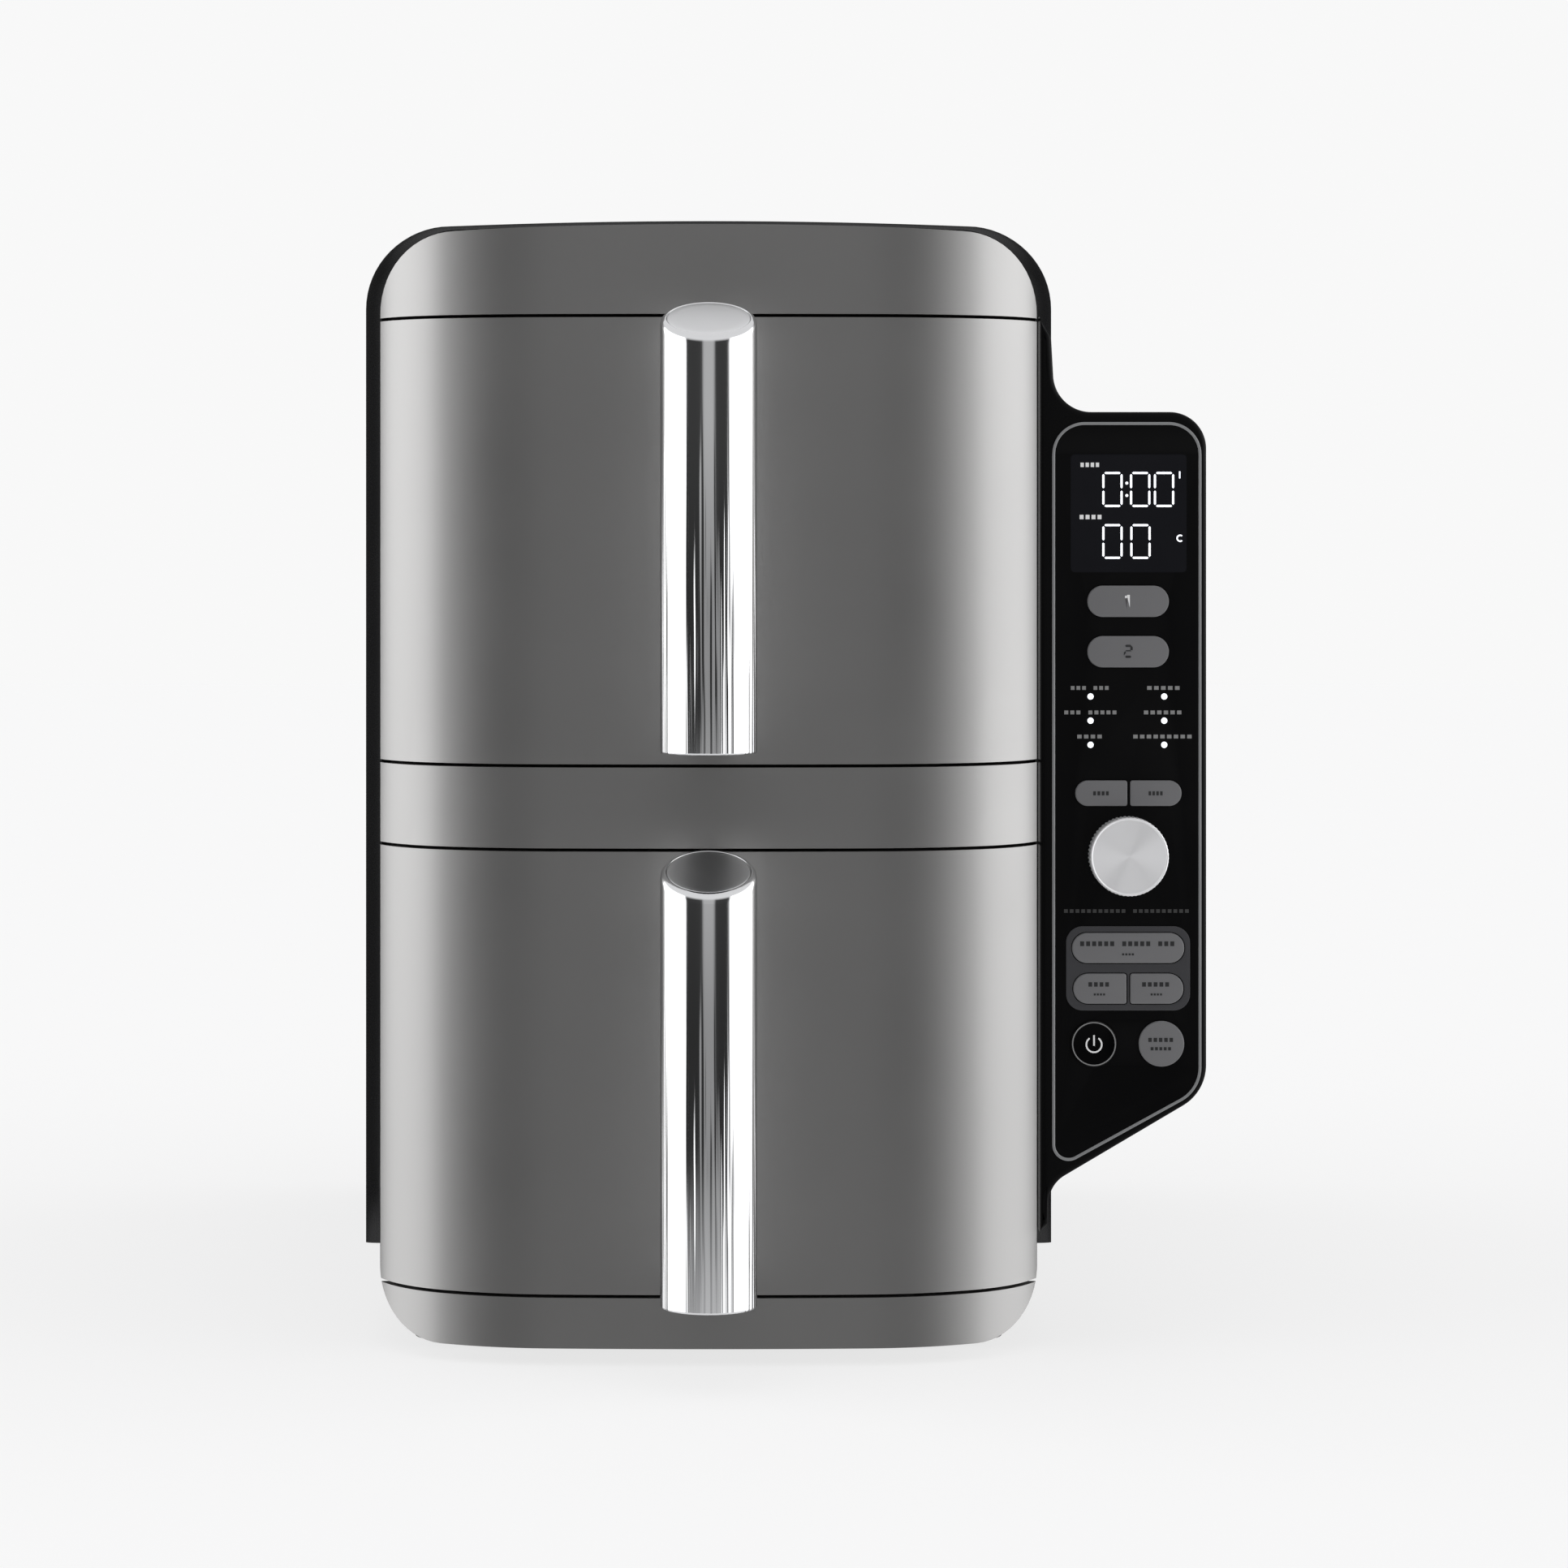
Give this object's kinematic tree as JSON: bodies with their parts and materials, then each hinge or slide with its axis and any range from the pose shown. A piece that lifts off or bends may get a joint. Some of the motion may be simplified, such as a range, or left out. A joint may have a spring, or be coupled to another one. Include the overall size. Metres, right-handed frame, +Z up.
{
  "type": "air fryer",
  "caption": "Tall air fryer with stacked pull-out basket drawers, upright round handles and a side control wing with keys, a dial and a display.",
  "frame": {"origin": "on the table under the middle of the machine's overall box", "axes": "+Z up, -Y towards the user through the drawer fronts, +X towards the control wing"},
  "size_m": [0.2886, 0.47, 0.386],
  "materials": {
    "satin_grey": "satin metallic",
    "black_shell": "fine satin",
    "black_gloss": "gloss",
    "black_inner": "matte",
    "bezel_silver": "satin",
    "handle_chrome": "polished",
    "cap_satin": "satin",
    "key_grey": "satin",
    "key_plate_grey": "satin",
    "dial_metal": "spun",
    "aluminised_sheet": "satin",
    "nonstick": "non-stick coating",
    "steel": "plain",
    "heater_sheath": "oxidised",
    "silicone": "matte",
    "circuit": "solder mask",
    "light_pipe": "clear"
  },
  "bodies": {
    "casing": {"base_plate": "black_inner", "casing_screws": "steel", "control_board": "circuit", "cord_bushing": "black_inner", "dial_encoder": "black_inner", "display_module": "black_inner", "drawer_switches": "black_inner", "fascia_bottom": "satin_grey", "fascia_middle": "satin_grey", "fascia_top": "satin_grey", "feet": "silicone", "front_frame": "black_inner", "key_plate": "key_plate_grey", "light_pipes": "light_pipe", "lower_chamber": "aluminised_sheet", "lower_heater": "heater_sheath", "lower_motor": "steel", "outer_shell": "black_shell", "panel_bezel": "bezel_silver", "panel_lens": "black_gloss", "power_board": "circuit", "rear_cover": "black_shell", "thermal_cutouts": "steel", "upper_chamber": "aluminised_sheet", "upper_heater": "heater_sheath", "upper_motor": "steel", "wing_back": "black_shell", "wing_front": "black_shell"},
    "upper_drawer": {"upper_drawer_front": "satin_grey", "upper_carrier": "black_inner", "upper_basket": "nonstick", "upper_handle_tube": "handle_chrome", "upper_handle_cap": "cap_satin", "upper_handle_core": "black_inner", "upper_handle_screws": "steel"},
    "upper_plate": {"upper_crisper_plate": "nonstick", "upper_plate_bumpers": "silicone"},
    "upper_rotor": {"upper_fan": "aluminised_sheet", "upper_fan_shaft": "steel"},
    "lower_drawer": {"lower_drawer_front": "satin_grey", "lower_carrier": "black_inner", "lower_basket": "nonstick", "lower_handle_tube": "handle_chrome", "lower_handle_cap": "cap_satin", "lower_handle_core": "black_inner", "lower_handle_screws": "steel"},
    "lower_plate": {"lower_crisper_plate": "nonstick", "lower_plate_bumpers": "silicone"},
    "lower_rotor": {"lower_fan": "aluminised_sheet", "lower_fan_shaft": "steel"},
    "dial": {"dial_knob": "dial_metal"},
    "zone_1_button": {"zone_1_key": "key_grey"},
    "zone_2_button": {"zone_2_key": "key_grey"},
    "temp_button": {"temp_key": "key_grey"},
    "time_button": {"time_key": "key_grey"},
    "both_button": {"both_key": "key_grey"},
    "sync_button": {"sync_key": "key_grey"},
    "match_button": {"match_key": "key_grey"},
    "power_button": {"power_key": "key_grey"},
    "start_button": {"start_key": "key_grey"}
  },
  "joints": [
    {"name": "upper_drawer_slide", "type": "slide", "parent": "casing", "child": "upper_drawer", "axis": [0, -1, 0], "range_m": [0, 0.3]},
    {"name": "upper_plate_lift", "type": "slide", "parent": "upper_drawer", "child": "upper_plate", "axis": [0, 0, 1], "range_m": [0, 0.05]},
    {"name": "upper_fan_spin", "type": "hinge", "parent": "casing", "child": "upper_rotor", "pos_m": [-0.0248, 0.163, 0.2767], "axis": [0, 1, 0], "continuous": true},
    {"name": "lower_drawer_slide", "type": "slide", "parent": "casing", "child": "lower_drawer", "axis": [0, -1, 0], "range_m": [0, 0.3]},
    {"name": "lower_plate_lift", "type": "slide", "parent": "lower_drawer", "child": "lower_plate", "axis": [0, 0, 1], "range_m": [0, 0.05]},
    {"name": "lower_fan_spin", "type": "hinge", "parent": "casing", "child": "lower_rotor", "pos_m": [-0.0248, 0.163, 0.0995], "axis": [0, 1, 0], "continuous": true},
    {"name": "dial_turn", "type": "hinge", "parent": "casing", "child": "dial", "pos_m": [0.1172, -0.156, 0.1692], "axis": [0, 1, 0], "continuous": true},
    {"name": "zone_1_press", "type": "slide", "parent": "casing", "child": "zone_1_button", "axis": [0, 1, 0], "range_m": [0, 0.001], "stiffness_N_per_m": 800, "springref_m": -0.001},
    {"name": "zone_2_press", "type": "slide", "parent": "casing", "child": "zone_2_button", "axis": [0, 1, 0], "range_m": [0, 0.001], "stiffness_N_per_m": 800, "springref_m": -0.001},
    {"name": "temp_press", "type": "slide", "parent": "casing", "child": "temp_button", "axis": [0, 1, 0], "range_m": [0, 0.001], "stiffness_N_per_m": 800, "springref_m": -0.001},
    {"name": "time_press", "type": "slide", "parent": "casing", "child": "time_button", "axis": [0, 1, 0], "range_m": [0, 0.001], "stiffness_N_per_m": 800, "springref_m": -0.001},
    {"name": "both_press", "type": "slide", "parent": "casing", "child": "both_button", "axis": [0, 1, 0], "range_m": [0, 0.001], "stiffness_N_per_m": 800, "springref_m": -0.001},
    {"name": "sync_press", "type": "slide", "parent": "casing", "child": "sync_button", "axis": [0, 1, 0], "range_m": [0, 0.001], "stiffness_N_per_m": 800, "springref_m": -0.001},
    {"name": "match_press", "type": "slide", "parent": "casing", "child": "match_button", "axis": [0, 1, 0], "range_m": [0, 0.001], "stiffness_N_per_m": 800, "springref_m": -0.001},
    {"name": "power_press", "type": "slide", "parent": "casing", "child": "power_button", "axis": [0, 1, 0], "range_m": [0, 0.001], "stiffness_N_per_m": 800, "springref_m": -0.001},
    {"name": "start_press", "type": "slide", "parent": "casing", "child": "start_button", "axis": [0, 1, 0], "range_m": [0, 0.001], "stiffness_N_per_m": 800, "springref_m": -0.001}
  ]
}
